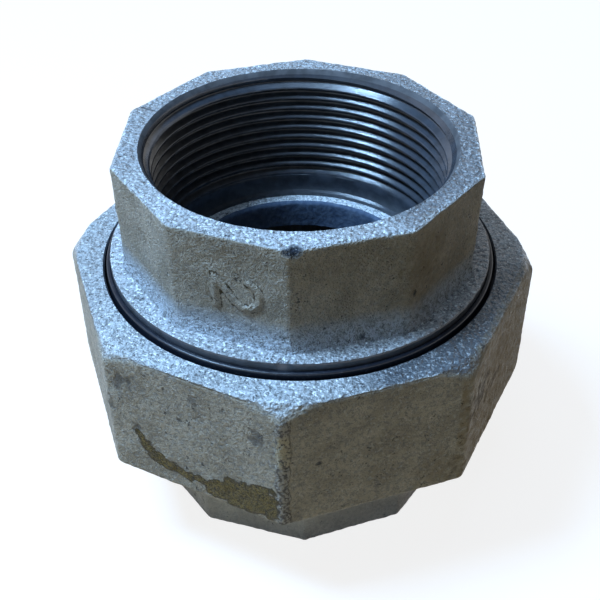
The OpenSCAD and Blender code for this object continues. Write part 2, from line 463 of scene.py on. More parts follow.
def union_nut():
    """Eight-sided nut: its upper corners are turned down to a shallow cone."""
    skin = Skin()
    angles = polygon_angles(NUT_SIDES, NUT_HALF, NUT_TURN)
    plain = round_angles()

    def outline(inset):
        half, corner = NUT_HALF - inset, CORNER_ROUND - inset
        return polygon_radius(angles, NUT_SIDES, half, corner, NUT_TURN)

    def crown(radius):
        return NUT_TOP - CROWN_SLOPE * np.maximum(radius - CROWN_R, 0)

    def bevel(r, z):
        """Opens the thread at its mouth."""
        return np.maximum(r, UNION_R + UNION_CHAMFER - np.maximum(z - NUT_Z, 0))

    thread = Thread(UNION_PITCH, LOWER_END_H, NUT_CREST_R, UNION_DEPTH, bevel)
    opening = skin.ring(plain, LIP_R + LIP_CHAMFER, NUT_TOP, 0.4)
    rings = [opening]

    def rough(radius, height):
        rings.append(skin.ring(angles, radius, height, 1))

    top = outline(EDGE_ROUND)
    inner = LIP_R + LIP_CHAMFER
    for share in shares(NUT_HALF - inner):
        radius = inner + (top - inner) * share
        rough(radius, crown(radius))
    for sine, cosine in quarter():
        radius = outline(EDGE_ROUND * (1 - sine))
        rough(radius, crown(radius) - EDGE_ROUND * (1 - cosine))
    side_top, side_end = crown(outline(0)) - EDGE_ROUND, NUT_Z + EDGE_ROUND
    for share in shares(NUT_TOP - NUT_Z, NUT_SIDE_STEP):
        rough(outline(0), side_top + (side_end - side_top) * share)
    for sine, cosine in quarter():
        rough(outline(EDGE_ROUND * (1 - cosine)), NUT_Z + EDGE_ROUND * (1 - sine))
    mouth = skin.ring(plain, UNION_R + UNION_CHAMFER, NUT_Z)
    skin.chain(rings + [mouth])
    relief = skin.ring(plain, thread.radius(plain, RELIEF_Z + 0 * plain), RELIEF_Z)
    skin.thread(mouth, relief, thread)
    bore = [
        relief,
        skin.ring(plain, RELIEF_R, RELIEF_Z),
        skin.ring(plain, RELIEF_R, RELIEF_Z + RELIEF_W),
        skin.ring(plain, UNION_R, RELIEF_Z + RELIEF_W),
        skin.ring(plain, UNION_R, LIP_Z),
        skin.ring(plain, LIP_R + LIP_CHAMFER, LIP_Z),
        skin.ring(plain, LIP_R, LIP_Z + LIP_CHAMFER),
        skin.ring(plain, LIP_R, NUT_TOP - LIP_CHAMFER, 0.2),
        opening,
    ]
    skin.chain(bore, TURNED)
    return skin


def lower_body():
    """Ten-sided end that flares out under the thread, with the seat for the gasket on top."""
    skin = Skin()
    mouth, waterway = port(skin, 0.0, 1)
    angles = polygon_angles(LOWER_SIDES, LOWER_HALF, LOWER_TURN)
    plain = round_angles()

    def outline(inset):
        half, corner = LOWER_HALF - inset, CORNER_ROUND - inset
        return polygon_radius(angles, LOWER_SIDES, half, corner, LOWER_TURN)

    flare_end = BODY_CREST_R - UNION_CHAMFER
    flare_z = LOWER_END_H - UNION_CHAMFER * FLARE_SLOPE

    def flare(radius):
        return flare_z - (flare_end - radius) * FLARE_SLOPE

    def bevel(r, z):
        """Trims the thread at both of its ends."""
        below = flare_end + np.maximum(z - LOWER_END_H + 0.2, 0)
        above = flare_end + np.maximum(SEAT_Z - z, 0)
        return np.minimum(r, np.minimum(below, above))

    rings = [mouth]

    def rough(radius, height):
        rings.append(skin.ring(angles, radius, height, 1))

    base = outline(EDGE_ROUND)
    for share in shares(LOWER_HALF - MOUTH_R, LOWER_STEP):
        rough(MOUTH_R + (base - MOUTH_R) * share, 0)
    for sine, cosine in quarter():
        rough(outline(EDGE_ROUND * (1 - sine)), EDGE_ROUND * (1 - cosine))
    side_top = flare(outline(0))
    for share in shares(LOWER_END_H, LOWER_STEP):
        rough(outline(0), EDGE_ROUND + (side_top - EDGE_ROUND) * share)
    for share in shares(flare_end - LOWER_HALF, LOWER_STEP):
        radius = outline(0) + (flare_end - outline(0)) * share
        rough(radius, flare(radius))
    flare_ring = skin.ring(plain, flare_end, flare_z)
    skin.chain(rings + [flare_ring])
    seat_edge = skin.ring(plain, flare_end, SEAT_Z)
    thread = Thread(
        UNION_PITCH, LOWER_END_H + UNION_PITCH / 2, BODY_CREST_R, -UNION_DEPTH, bevel
    )
    skin.thread(flare_ring, seat_edge, thread)
    seat = [seat_edge]
    for share in FACE_SHARES:
        seat.append(skin.ring(plain, flare_end + (WATERWAY_R - flare_end) * share, SEAT_Z))
    skin.chain(seat, TURNED)
    close_waterway(skin, seat[-1], waterway)
    return skin


def insulating_collar():
    """Moulded sleeve with a rounded end, on its own flange."""
    skin = Skin()
    angles = round_angles()
    soft = 0.1
    corners = [
        (COLLAR_IN_R, SLEEVE_TOP - soft),
        (COLLAR_IN_R, COLLAR_Z),
        (FLANGE_R - soft, COLLAR_Z),
        (FLANGE_R, COLLAR_Z + soft),
        (FLANGE_R, LIP_Z - soft),
        (FLANGE_R - soft, LIP_Z),
        (COLLAR_OUT_R, LIP_Z),
    ]
    for sine, cosine in quarter(7):
        radius = COLLAR_OUT_R - COLLAR_EDGE_ROUND * (1 - cosine)
        corners.append((radius, SLEEVE_TOP - COLLAR_EDGE_ROUND * (1 - sine)))
    corners.append((COLLAR_IN_R + soft, SLEEVE_TOP))
    rings = [skin.ring(angles, radius, height) for radius, height in corners]
    skin.chain(rings + [rings[0]])
    return skin


def gasket():
    """Flat moulded ring with softened edges."""
    skin = Skin()
    angles = round_angles()
    soft = 0.25
    top = heights("gasket")[1]
    corners = [
        (GASKET_HOLE_R, top - soft),
        (GASKET_HOLE_R, SEAT_Z + soft),
        (GASKET_HOLE_R + soft, SEAT_Z),
        (GASKET_R - soft, SEAT_Z),
        (GASKET_R, SEAT_Z + soft),
        (GASKET_R, top - soft),
        (GASKET_R - soft, top),
        (GASKET_HOLE_R + soft, top),
    ]
    rings = [skin.ring(angles, radius, height) for radius, height in corners]
    skin.chain(rings + [rings[0]])
    return skin


# Cast skin: lumps, orange peel, dents, stains and the raised numeral

LUMP_SIZE, LUMP_DEPTH = 5.0, 0.2
PEEL_SIZE, PEEL_DEPTH = 1.1, 0.2
# How far from a flat's plane a point may lie and still belong to the flat
NEAR_FLAT = 1.5
# Dents: centre, radius and depth
BARREL_DENTS = [
    ((1.0, -35.5, 76.0), 1.3, 0.6),
    ((-0.6, -35.6, 75.8), 0.9, 0.4),
    ((-1.4, -38.2, 53.6), 1.2, 0.7),
    ((0.0, -38.2, 53.4), 0.9, 0.5),
]


def front_flats(sides, half, turn):
    """Three flats from the front's left to its right: where each faces, and how far out it is."""
    front, pitch = math.radians(turn) - TURN / 4, TURN / sides
    return [(front + step * pitch, half) for step in (-0.5, 0.5, 1.5)]


BARREL_LEFT, BARREL_RIGHT, BARREL_FAR_RIGHT = front_flats(BARREL_SIDES, BARREL_HALF, 0)
NUT_LEFT, NUT_RIGHT, NUT_FAR_RIGHT = front_flats(NUT_SIDES, NUT_HALF, NUT_TURN)
# Grime: the flat, a place on it (along, height), how far it spreads each way, and how dark it is
BARREL_GRIME = [
    (BARREL_RIGHT, (2.3, 55.1), (0.5, 0.6), 1.0),
    (BARREL_RIGHT, (12.0, 62.1), (0.4, 0.5), 1.0),
]
# Darker spots in dents on edges: centre, how far it spreads, and how dark it is
EDGE_DARK = [
    ((1.0, -35.6, 76.1), 1.2, 1.7),
    ((-0.3, -35.7, 75.8), 0.8, 1.5),
    ((-1.4, -38.3, 53.6), 0.9, 0.8),
    ((-0.2, -38.3, 53.5), 0.7, 0.8),
]
NUT_GRIME = [
    (NUT_LEFT, (-14.4, 45.5), (2.6, 1.5), 0.6),
    (NUT_LEFT, (-15.6, 43.6), (1.2, 1.0), 0.6),
    (NUT_LEFT, (0.7, 46.6), (1.2, 1.9), 0.5),
    (NUT_LEFT, (13.5, 42.6), (1.5, 2.4), 0.6),
    (NUT_LEFT, (-18.0, 38.8), (0.9, 2.2), 0.45),
    (NUT_LEFT, (-12.6, 33.8), (0.9, 1.7), 0.7),
    (NUT_LEFT, (-2.3, 40.5), (0.6, 0.5), 0.8),
    (NUT_RIGHT, (-11.4, 36.6), (0.5, 0.5), 1.0),
    (NUT_RIGHT, (16.5, 27.0), (2.5, 6.0), 0.3),
    (NUT_FAR_RIGHT, (-12.5, 40.0), (5.0, 4.5), 0.5),
    (NUT_FAR_RIGHT, (-5.0, 36.0), (6.0, 3.0), 0.35),
]
# Painted shade in dark brown on flats that face right, described like grime
BARREL_RIGHT_SHADE = [(BARREL_FAR_RIGHT, (-7.0, 67.0), (5.0, 7.0), 0.6)]
NUT_RIGHT_SHADE = [
    (NUT_FAR_RIGHT, (0.0, 35.0), (24.0, 22.0), 0.9),
    (NUT_RIGHT, (17.0, 25.0), (7.0, 5.0), 0.5),
]
# Ragged outlines of the marks: length and depth of their waves
GRIME_RAGGED, STAIN_RAGGED, WORN_RAGGED = (1.3, 0.9), (1.5, 1.1), (2.2, 0.7)
# Outline of the brown stain low on the nut's left-front flat: a thin run that ends in a patch
STAIN = [
    (-12.4, 34.0), (-9.8, 30.3), (-5.9, 28.2), (-1.4, 26.9), (2.5, 26.5), (7.5, 29.1),
    (11.8, 30.2), (14.9, 30.7), (17.2, 29.6), (17.6, 26.0), (17.2, 22.6), (9.3, 22.3),
    (3.8, 22.5), (2.0, 23.8), (1.0, 24.8), (-1.4, 24.9), (-6.0, 25.0), (-10.8, 27.2), (-13.1, 33.0),
]
# Where the upper faces of nut and rim are painted darker: from and to which degree from the front,
# and how much. On the rim and on the nut's left this is painted shade; on the nut's front right it
# is darker zinc. Points above the face's height belong to it, but for a margin along its edge.
NUT_TOP_DARKENING = [(18.0, 60.0, 0.25), (18.0, 84.0, 0.9), (235.0, 300.0, 0.3)]
RIM_PAINTED_SHADE = [(34.0, 110.0, 0.2), (34.0, 150.0, 0.38), (34.0, 292.0, 0.4)]
NUT_FACE_Z, RIM_FACE_Z = NUT_TOP - 2.6, RIM_Z - 0.4
DARKENING_FADE, DARKENING_MARGIN = 12.0, 0.4
# The barrel's foot is free of dust and painted bright blue, as painted light that the ledge throws
# up: where that ends above the ledge, and over what height it fades
FOOT_LIGHT_H, FOOT_LIGHT_FADE = 6.5, 4.0
# Crack in the zinc across the rim, where one of the barrel's corners begins, and its half width
RIM_CRACK, CRACK_W = [(-32.6, 12.5), (-31.0, 11.5), (-29.5, 10.9)], 0.35
# The upright corner of the nut that is worn: how wide, how far to the right of the corner,
# and between which heights it is tan
WORN_W, WORN_ASIDE = 1.2, 0.3
WORN_TAN = (38.0, 44.5)
# The raised numeral lies on its side on the barrel's left-front flat
NUMERAL_CENTRE = (1.5, 64.8)
NUMERAL_HEIGHT, NUMERAL_WIDTH = 8.3, 6.9
NUMERAL_LINE, NUMERAL_RISE = 0.55, 0.38
# Dirt in the seam round the numeral: distance from its centre line, width and strength
SEAM_GAP, SEAM_W, SEAM_STAIN = 1.7 * NUMERAL_LINE, 0.35, 0.47


def seen_from(points, side):
    """How far each point lies sideways and how far out, for a direction from the axis."""
    across = points @ np.array([-math.sin(side), math.cos(side), 0])
    return across, points @ np.array([math.cos(side), math.sin(side), 0])


def on_flat(points, flat):
    """Place of each point along a flat, its height, and whether it lies on the flat."""
    side, half = flat
    across, out = seen_from(points, side)
    return across, points[:, 2], np.abs(out - half) < NEAR_FLAT


def line_gap(across, up, line):
    """Distance of each place from a line drawn through a list of places."""
    nearest = np.full(len(across), 1e9)
    for (x0, y0), (x1, y1) in zip(line, line[1:]):
        dx, dy = x1 - x0, y1 - y0
        share = np.clip(((across - x0) * dx + (up - y0) * dy) / (dx * dx + dy * dy), 0, 1)
        nearest = np.minimum(nearest, np.hypot(across - x0 - share * dx, up - y0 - share * dy))
    return nearest


def enclosed(across, up, outline):
    """Which places lie inside a closed outline."""
    inside = np.zeros(len(across), bool)
    for (x0, y0), (x1, y1) in zip(outline, outline[1:] + outline[:1]):
        if y0 != y1:
            crossing = x0 + (up - y0) * (x1 - x0) / (y1 - y0)
            inside ^= ((y0 > up) != (y1 > up)) & (across < crossing)
    return inside


def wander(points, near, size, depth):
    """Smooth random shift at the points near a mark, which makes its outline ragged."""
    shift = np.zeros(len(points))
    for i in np.nonzero(near)[0]:
        shift[i] = depth * noise.noise(Vector(points[i]) / size)
    return shift


def grime_share(points, spots):
    """How dirty each point is, from 0 to 1."""
    share = np.zeros(len(points))
    for flat, (along, height), (wide, high), dark in spots:
        across, up, near = on_flat(points, flat)
        reach = np.hypot((across - along) / wide, (up - height) / high)
        reach += wander(points, (reach < 3) & near, *GRIME_RAGGED)
        share = np.maximum(share, dark * np.clip(1.5 - reach, 0, 1) * near)
    return share


def edge_dark_share(points):
    """How much darker each point is painted in the dents on the barrel's edges and along its rim's
    crack.
    """
    gap = line_gap(points[:, 0], points[:, 1], RIM_CRACK)
    share = np.clip(1.4 - gap / CRACK_W, 0, 1) * (points[:, 2] > RIM_Z - 1.5)
    for centre, spread, dark in EDGE_DARK:
        away = np.linalg.norm(points - np.array(centre), axis=1) / spread
        share = np.maximum(share, dark * np.clip(1.5 - away, 0, 1))
    return share


def stain_share(points):
    """Depth of the stain at each point: 0.5 on its outline and 1 well inside it."""
    across, up, near = on_flat(points, NUT_LEFT)
    gap = line_gap(across, up, STAIN + STAIN[:1])
    signed = np.where(enclosed(across, up, STAIN), gap, -gap)
    signed += wander(points, (gap < 4) & near, *STAIN_RAGGED)
    return np.clip(0.5 + signed / 2.0, 0, 1) * near


def worn_share(points):
    """How worn each point of the nut's front corner is, and how tan."""
    aside, out = seen_from(points, math.radians(NUT_TURN) - TURN / 4)
    z = points[:, 2]
    front = (out > NUT_HALF) & (z < NUT_TOP - 3)
    aside = aside - WORN_ASIDE + wander(points, front, *WORN_RAGGED)
    worn = np.clip(1.5 - np.abs(aside) / WORN_W, 0, 1) * front
    tan = worn * np.clip((z - WORN_TAN[0] + 1), 0, 1) * np.clip((WORN_TAN[1] - z + 1), 0, 1)
    return worn, tan


def top_darkening_share(points, ranges, sides, half, turn, height):
    """How much darker each point of an upper face is painted: painted shade on the rim and nut's
    left.
    """
    place = np.degrees(np.arctan2(points[:, 0], -points[:, 1])) % 360
    dull = np.zeros(len(points))
    for first, last, share in ranges:
        dull += share * np.clip(0.5 + np.minimum(place - first, last - place) / DARKENING_FADE, 0, 1)
    angles, r = np.arctan2(points[:, 1], points[:, 0]), np.hypot(points[:, 0], points[:, 1])
    inner = r < polygon_radius(angles, sides, half, CORNER_ROUND, turn) - DARKENING_MARGIN
    return dull * inner * (points[:, 2] > height)


def numeral_stroke():
    """Centre line of a plain 2, standing upright in a box one unit high and wide."""
    bow = [
        (0.5 + 0.42 * math.cos(a), 0.68 + 0.32 * math.sin(a))
        for a in np.linspace(math.radians(165), math.radians(-42), 14)
    ]
    return bow + [(0.06, 0.0), (0.98, 0.0)]


def numeral_gap(points):
    """Distance of each point from the numeral's centre line."""
    across, up, near = on_flat(points, BARREL_LEFT)
    # Turned a quarter clockwise: its top points along the flat, to the right
    line = [((y - 0.5) * NUMERAL_HEIGHT, (0.5 - x) * NUMERAL_WIDTH) for x, y in numeral_stroke()]
    gap = line_gap(across - NUMERAL_CENTRE[0], up - NUMERAL_CENTRE[1], line)
    return np.where(near, gap, 1e9)


def numeral_lift(points):
    """How far the casting stands out at each point, for the raised numeral."""
    rise = np.clip(1.55 - numeral_gap(points) / NUMERAL_LINE, 0, 1)
    return NUMERAL_RISE * rise * rise * (3 - 2 * rise)


def roughen(mesh, rough, dents, numeral=False):
    """Moves the cast parts of a mesh along their normals, and only inwards at the box's ends."""
    points = np.empty(len(mesh.vertices) * 3)
    mesh.vertices.foreach_get("co", points)
    points = points.reshape(-1, 3)
    normals = np.empty(len(mesh.vertices) * 3)
    mesh.vertex_normals.foreach_get("vector", normals)
    normals = normals.reshape(-1, 3)
    sink = np.zeros(len(points))
    for i in np.nonzero(rough)[0]:
        place = Vector(points[i])
        lump = 0.5 + 0.5 * noise.noise(place / LUMP_SIZE)
        peel = 0.5 + 0.5 * noise.noise(place / PEEL_SIZE)
        at_end = min(points[i, 2], RIM_Z - points[i, 2]) < EDGE_ROUND
        level = 0.5 * (1 - abs(normals[i, 2])) if at_end else 0.5
        sink[i] = LUMP_DEPTH * (lump - level) + PEEL_DEPTH * (peel - level)
    for centre, radius, depth in dents:
        near = 1 - np.linalg.norm(points - np.array(centre), axis=1) / radius
        sink += depth * np.clip(near, 0, 1) ** 0.7
    if numeral:
        sink -= numeral_lift(points)
    points -= normals * (sink * rough)[:, None]
    low, high = np.array(cad_box) / MM
    points = np.clip(points, low, high)
    mesh.vertices.foreach_set("co", points.ravel())


def barrel_marks(points):
    """Marks on the tailpiece's casting: a list for each, with a share for each point."""
    seam = np.clip(1.3 - np.abs(numeral_gap(points) - SEAM_GAP) / SEAM_W, 0, 1)
    return {
        "grime": np.maximum(grime_share(points, BARREL_GRIME), edge_dark_share(points)),
        "stain": SEAM_STAIN * seam,
        "warm": grime_share(points, BARREL_RIGHT_SHADE),
        "dull": top_darkening_share(points, RIM_PAINTED_SHADE, BARREL_SIDES, BARREL_HALF, 0, RIM_FACE_Z),
        "clean": np.clip((LEDGE_Z + FOOT_LIGHT_H - points[:, 2]) / FOOT_LIGHT_FADE, 0, 1),
    }


def nut_marks(points):
    """Marks on the nut's casting."""
    worn, tan = worn_share(points)
    return {
        "grime": grime_share(points, NUT_GRIME),
        "stain": stain_share(points),
        "warm": grime_share(points, NUT_RIGHT_SHADE),
        "worn": worn,
        "tan": tan,
        "dull": top_darkening_share(points, NUT_TOP_DARKENING, NUT_SIDES, NUT_HALF, NUT_TURN, NUT_FACE_Z),
    }


def place(name, data):
    """Puts a mesh, a lamp or a camera in the scene."""
    made = bpy.data.objects.new(name, data)
    bpy.context.scene.collection.objects.link(made)
    return made


def piece(name, skin, body, node, finishes, marks=None, dents=(), numeral=False):
    """Makes the mesh of a skin and lets it stand for its CAD node."""
    points, rough = np.concatenate(skin.points), np.concatenate(skin.rough)
    mesh = bpy.data.meshes.new(name)
    mesh.from_pydata(points.tolist(), [], skin.faces)
    mesh.polygons.foreach_set("material_index", skin.finish)
    turned_out = bmesh.new()
    turned_out.from_mesh(mesh)
    bmesh.ops.recalc_face_normals(turned_out, faces=turned_out.faces)
    turned_out.to_mesh(mesh)
    turned_out.free()
    for mark, values in (marks(points) if marks else {}).items():
        mesh.attributes.new(mark, "FLOAT", "POINT").data.foreach_set("value", values)
    if rough.any():
        roughen(mesh, rough, dents, numeral)
    mesh.transform(Matrix.Scale(MM, 4))
    mesh.shade_smooth()
    mesh.set_sharp_from_angle(angle=math.radians(SHARP_ANGLE))
    for material in finishes:
        mesh.materials.append(material)
    mesh.update()
    made = place(name, mesh)
    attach(made, body)
    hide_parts(node)
    return made


# Materials


class Look:
    """A material and a short way to add nodes to it."""

    def __init__(self, name):
        self.material = bpy.data.materials.new(name)
        self.material.use_nodes = True
        self.tree = self.material.node_tree
        self.tree.nodes.clear()
        coordinates = self.add("TexCoord")
        scaled = self.add("Mapping", {"Vector": coordinates.outputs["Object"]})
        scaled.inputs["Scale"].default_value = (1 / MM,) * 3
        self.place = scaled.outputs[0]

    def add(self, kind, inputs=None, **settings):
        """Adds a node. An input is a number, a colour or another node's output."""
        node = self.tree.nodes.new("ShaderNode" + kind)
        for key, value in settings.items():
            setattr(node, key, value)
        for key, value in (inputs or {}).items():
            if isinstance(value, bpy.types.NodeSocket):
                self.tree.links.new(value, node.inputs[key])
            else:
                node.inputs[key].default_value = value
        return node

    def noise(self, size, detail=2.0, roughness=0.5, place=None):
        """Noise from 0 to 1 with spots of that size in millimetres."""
        inputs = {"Vector": place or self.place, "Scale": 1 / size, "Detail": detail}
        return self.add("TexNoise", {**inputs, "Roughness": roughness}).outputs["Fac"]

    def mark(self, name):
        """Share that the mesh carries at its points, 0 where it has no such mark."""
        return self.add("Attribute", attribute_name=name).outputs["Fac"]

    def math(self, operation, a, b=0.0, c=0.0):
        return self.add("Math", {0: a, 1: b, 2: c}, operation=operation).outputs[0]

    def plus(self, a, b):
        return self.math("ADD", a, b)

    def times(self, a, b):
        return self.math("MULTIPLY", a, b)

    def line(self, value, slope, start):
        """Value times slope plus start."""
        return self.math("MULTIPLY_ADD", value, slope, start)

    def without(self, share):
        """What a share leaves of one."""
        return self.math("SUBTRACT", 1.0, share)

    def step(self, value, low, high, to_low=0.0, to_high=1.0):
        """Smooth change from one value to another between two limits."""
        inputs = {"Value": value, "From Min": low, "From Max": high}
        limits = {"To Min": to_low, "To Max": to_high}
        node = self.add("MapRange", {**inputs, **limits}, interpolation_type="SMOOTHSTEP")
        return node.outputs[0]

    def mix(self, share, a, b):
        """Mixes two colours."""
        inputs = {0: share, 6: a, 7: b}
        for key in (6, 7):
            if not isinstance(inputs[key], bpy.types.NodeSocket):
                inputs[key] = (*inputs[key], 1)
        return self.add("Mix", inputs, data_type="RGBA").outputs[2]

    def bump(self, height, depth, strength=1.0):
        """Bump of that depth in millimetres for a height from 0 to 1."""
        inputs = {"Height": height, "Distance": depth * MM, "Strength": strength}
        return self.add("Bump", inputs).outputs[0]

    def surface(self, **inputs):
        """Ends the material with one shader."""
        named = {}
        for key, value in inputs.items():
            named[key.replace("_", " ").title().replace("Ior", "IOR")] = value
        shader = self.add("BsdfPrincipled", named)
        output = self.add("OutputMaterial")
        self.tree.links.new(shader.outputs[0], output.inputs["Surface"])
        return self.material


# Colours of what lies on the zinc, and of painted shade and painted light on it.
# Pairs are mixed by a noise.
DUST_TONES = [(0.46, 0.36, 0.235), (0.64, 0.52, 0.37)]
# Painted shade on flats that face right
RIGHT_SHADE_BROWN = (0.33, 0.25, 0.155)
# Painted light at the barrel's foot
FOOT_LIGHT_ZINC = (0.76, 0.83, 0.93)
# Darker zinc on upper faces: painted shade on the rim and the nut's left
TOP_DARKENING_ZINC = (0.09, 0.10, 0.115)
SPECK = (0.04, 0.04, 0.045)
SOOT = (0.05, 0.055, 0.07)
CRUST_TONES = [(0.11, 0.10, 0.095), (0.50, 0.46, 0.42)]
TAN_CRUST = (0.62, 0.53, 0.38)
GROWTH_TONES = [(0.07, 0.05, 0.014), (0.23, 0.155, 0.032)]
GROWTH_PITS = (0.03, 0.024, 0.01)
STAIN_RIM = (0.06, 0.045, 0.025)
# Depth of the bump that stands for the finest roughness of the castings
CAST_BUMP = 0.78


def worn_zinc(look, colour, mottle, crumbs):
    """Crumbling crust on the worn corner. Gives the colour, and where the crust lies."""
    patchy = look.plus(look.mark("worn"), look.line(mottle, 0.8, -0.4))
    crusted = look.step(patchy, 0.35, 0.6)
    crust = look.mix(look.step(crumbs, 0.42, 0.56), *CRUST_TONES)
    tan = look.times(look.mark("tan"), look.step(crumbs, 0.36, 0.5))
    crust = look.mix(tan, crust, TAN_CRUST)
    return look.mix(look.times(crusted, 0.82), colour, crust), crusted


def soot_share(look, mottle, fine):
    """How much of the soot colour the zinc takes at the marks of grime, which on the barrel also
    hold the darker spots in its dents and along its crack.
    """
    grime = look.mark("grime")
    patchy = look.plus(grime, look.line(mottle, 1.2, -0.6))
    soot = look.times(look.step(grime, 0.02, 0.2), look.step(patchy, 0.2, 0.5))
    soot = look.times(soot, look.step(fine, 0.35, 0.6, 0.5, 0.95))
    return look.times(soot, look.line(grime, 0.75, 0.25))


def stained_zinc(look, colour, mottle, fine, crumbs):
    """Brown growth with a ragged dark rim at the marks of the stain."""
    ragged = look.plus(look.mark("stain"), look.line(mottle, 0.9, -0.45))
    ragged = look.plus(ragged, look.line(fine, 0.5, -0.25))
    wash = look.times(look.step(ragged, 0.4, 0.58), look.step(fine, 0.35, 0.6, 1.0, 0.8))
    growth = look.mix(look.step(crumbs, 0.36, 0.62), *GROWTH_TONES)
    growth = look.mix(look.step(fine, 0.5, 0.36), growth, GROWTH_PITS)
    colour = look.mix(wash, colour, growth)
    rim = look.times(look.step(ragged, 0.36, 0.46), look.step(ragged, 0.78, 0.56))
    return look.mix(look.times(rim, 0.75), colour, STAIN_RIM)


def cast_zinc(name, light, dark, sand, side_hollow_shade, dust_share, marked=False, pale=1.0):
    """Hot-dip zinc on a sand casting.

    On its upright sides, sand is how tall its grains are, the number after it how dark the painted
    shade in its hollows is, and dust_share how much of it the dust covers. Pale makes the dust
    lighter or darker. A marked casting also shows the marks that its mesh carries.
    """
    look = Look(name)
    tone = look.step(look.noise(7.0, 3.0), 0.35, 0.65)
    mottle = look.noise(1.6, 3.0, 0.6)
    peel = look.noise(0.85, 1.5, 0.5)
    fine = look.noise(0.26, 2.0, 0.6)
    normal = look.add("SeparateXYZ", {0: look.add("TexCoord").outputs["Normal"]})
    upright = look.step(normal.outputs[2], 0.75, 0.35)
    dusty = upright
    if marked:
        clean = look.times(look.mark("clean"), look.step(mottle, 0.3, 0.6, 0.55, 0.95))
        dusty = look.times(upright, look.without(clean))

    # Colour of the zinc: dust on its sides, painted shade in its hollows, painted glints
    dust = look.mix(tone, *([pale * c for c in dust_tone] for dust_tone in DUST_TONES))
    colour = look.mix(look.times(dusty, dust_share), look.mix(tone, dark, light), dust)
    if marked:
        # Bright blue zinc at the barrel's foot: painted light that the ledge throws up
        colour = look.mix(look.times(look.times(clean, upright), 0.9), colour, FOOT_LIGHT_ZINC)
    # Painted shade in the low spots of the bump, deeper on the upright sides
    hollow_shade = look.step(look.line(fine, 0.55, look.times(peel, 0.45)), 0.55, 0.39)
    hollow_shade = look.times(hollow_shade, look.line(dusty, side_hollow_shade - 0.88, 0.88))
    colour = look.mix(hollow_shade, colour, [c * 0.34 for c in dark])
    # Painted glints: bright spots of zinc, mostly where it faces up
    glint = look.step(look.noise(0.6, 1.0, 0.5), 0.56, 0.7)
    glint = look.times(glint, look.line(upright, -0.8, 1.0))
    colour = look.mix(glint, colour, [min(1.6 * c, 0.95) for c in light])

    # Height of the skin: rolling where it faces up, grains of sand on its sides
    rolling = look.times(peel, look.line(upright, -1.15, 1.4))
    grains = look.times(look.noise(0.42, 2.0, 0.6), look.times(upright, sand))
    height = look.plus(look.line(fine, 0.25, rolling), grains)
    gloss = look.line(dusty, -0.46, 0.54)
    if marked:
        # Upper faces painted darker where the mesh marks them, as painted shade on the rim and the
        # nut's left, with half of the painted glints kept
        dull = look.mark("dull")
        colour = look.mix(look.times(dull, 0.8), colour, TOP_DARKENING_ZINC)
        colour = look.mix(look.times(glint, look.times(dull, 0.5)), colour, light)
        # Painted shade in dark brown on flats that face right, which also takes away their gloss
        warm = look.times(look.mark("warm"), look.step(mottle, 0.3, 0.6, 0.55, 0.9))
        colour = look.mix(warm, colour, RIGHT_SHADE_BROWN)
        crumbs = look.noise(0.7, 2.0, 0.6)
        colour, crusted = worn_zinc(look, colour, mottle, crumbs)
        height = look.plus(height, look.times(look.times(crusted, crumbs), 0.8))
        soot = soot_share(look, mottle, fine)
        colour = look.mix(soot, colour, SOOT)
        colour = stained_zinc(look, colour, mottle, fine, crumbs)
        height = look.line(soot, -0.3, height)
        gloss = look.times(look.times(gloss, look.without(soot)), look.without(warm))
    speck = look.step(look.times(look.noise(0.5, 1.0), look.noise(2.6, 1.0)), 0.42, 0.46)
    colour = look.mix(look.times(speck, 0.75), colour, SPECK)
    height = look.line(speck, -0.3, height)
    sheen = look.step(mottle, 0.3, 0.7, 0.16, 0.32)
    return look.surface(
        base_color=colour,
        roughness=look.line(dusty, 0.22, sheen),
        specular_ior_level=gloss,
        normal=look.bump(height, CAST_BUMP),
    )


def turned_iron(name, colour, smooth, specular):
    """Oily machined iron with the fine rings that the tool leaves."""
    look = Look(name)
    x, y, z = look.add("SeparateXYZ", {0: look.place}).outputs
    radius = look.math("SQRT", look.plus(look.times(x, x), look.times(y, y)))
    rings = look.add("CombineXYZ", {0: radius, 1: z}).outputs[0]
    marks = look.noise(0.12, 3.0, 0.7, rings)
    blotch = look.noise(2.5, 3.0)
    shade = look.mix(look.step(blotch, 0.35, 0.7), colour, [c * 0.62 for c in colour])
    return look.surface(
        base_color=shade,
        roughness=look.step(blotch, 0.3, 0.7, smooth, smooth + 0.1),
        specular_ior_level=specular,
        normal=look.bump(look.line(look.noise(0.5), 0.5, marks), 0.03),
    )


def dull_bore():
    """Painted shade: dark blue on the waterway's rough wall, which lies in the dark."""
    look = Look("dull_bore")
    crust = look.noise(1.2, 3.0, 0.6)
    return look.surface(
        base_color=look.mix(look.step(crust, 0.35, 0.7), (0.06, 0.09, 0.15), (0.11, 0.15, 0.22)),
        roughness=look.step(crust, 0.3, 0.7, 0.65, 0.85),
        specular_ior_level=0.2,
        normal=look.bump(crust, 0.2),
    )


def black_plastic():
    """Moulded plastic with a little dust."""
    look = Look("black_plastic")
    dust = look.step(look.noise(0.5, 3.0), 0.55, 0.8)
    return look.surface(
        base_color=look.mix(dust, (0.008, 0.011, 0.02), (0.05, 0.057, 0.075)),
        roughness=look.step(look.noise(1.2, 2.0), 0.3, 0.7, 0.28, 0.4),
        specular_ior_level=0.6,
        normal=look.bump(look.noise(0.4, 2.0), 0.03),
    )


def black_rubber():
    """Matt rubber with a faint bloom."""
    look = Look("black_rubber")
    bloom = look.step(look.noise(3.0, 3.0), 0.4, 0.75)
    return look.surface(
        base_color=look.mix(bloom, (0.03, 0.03, 0.03), (0.07, 0.07, 0.068)),
        roughness=look.step(look.noise(1.0, 2.0), 0.3, 0.7, 0.7, 0.85),
        normal=look.bump(look.noise(0.3, 2.0), 0.04),
    )


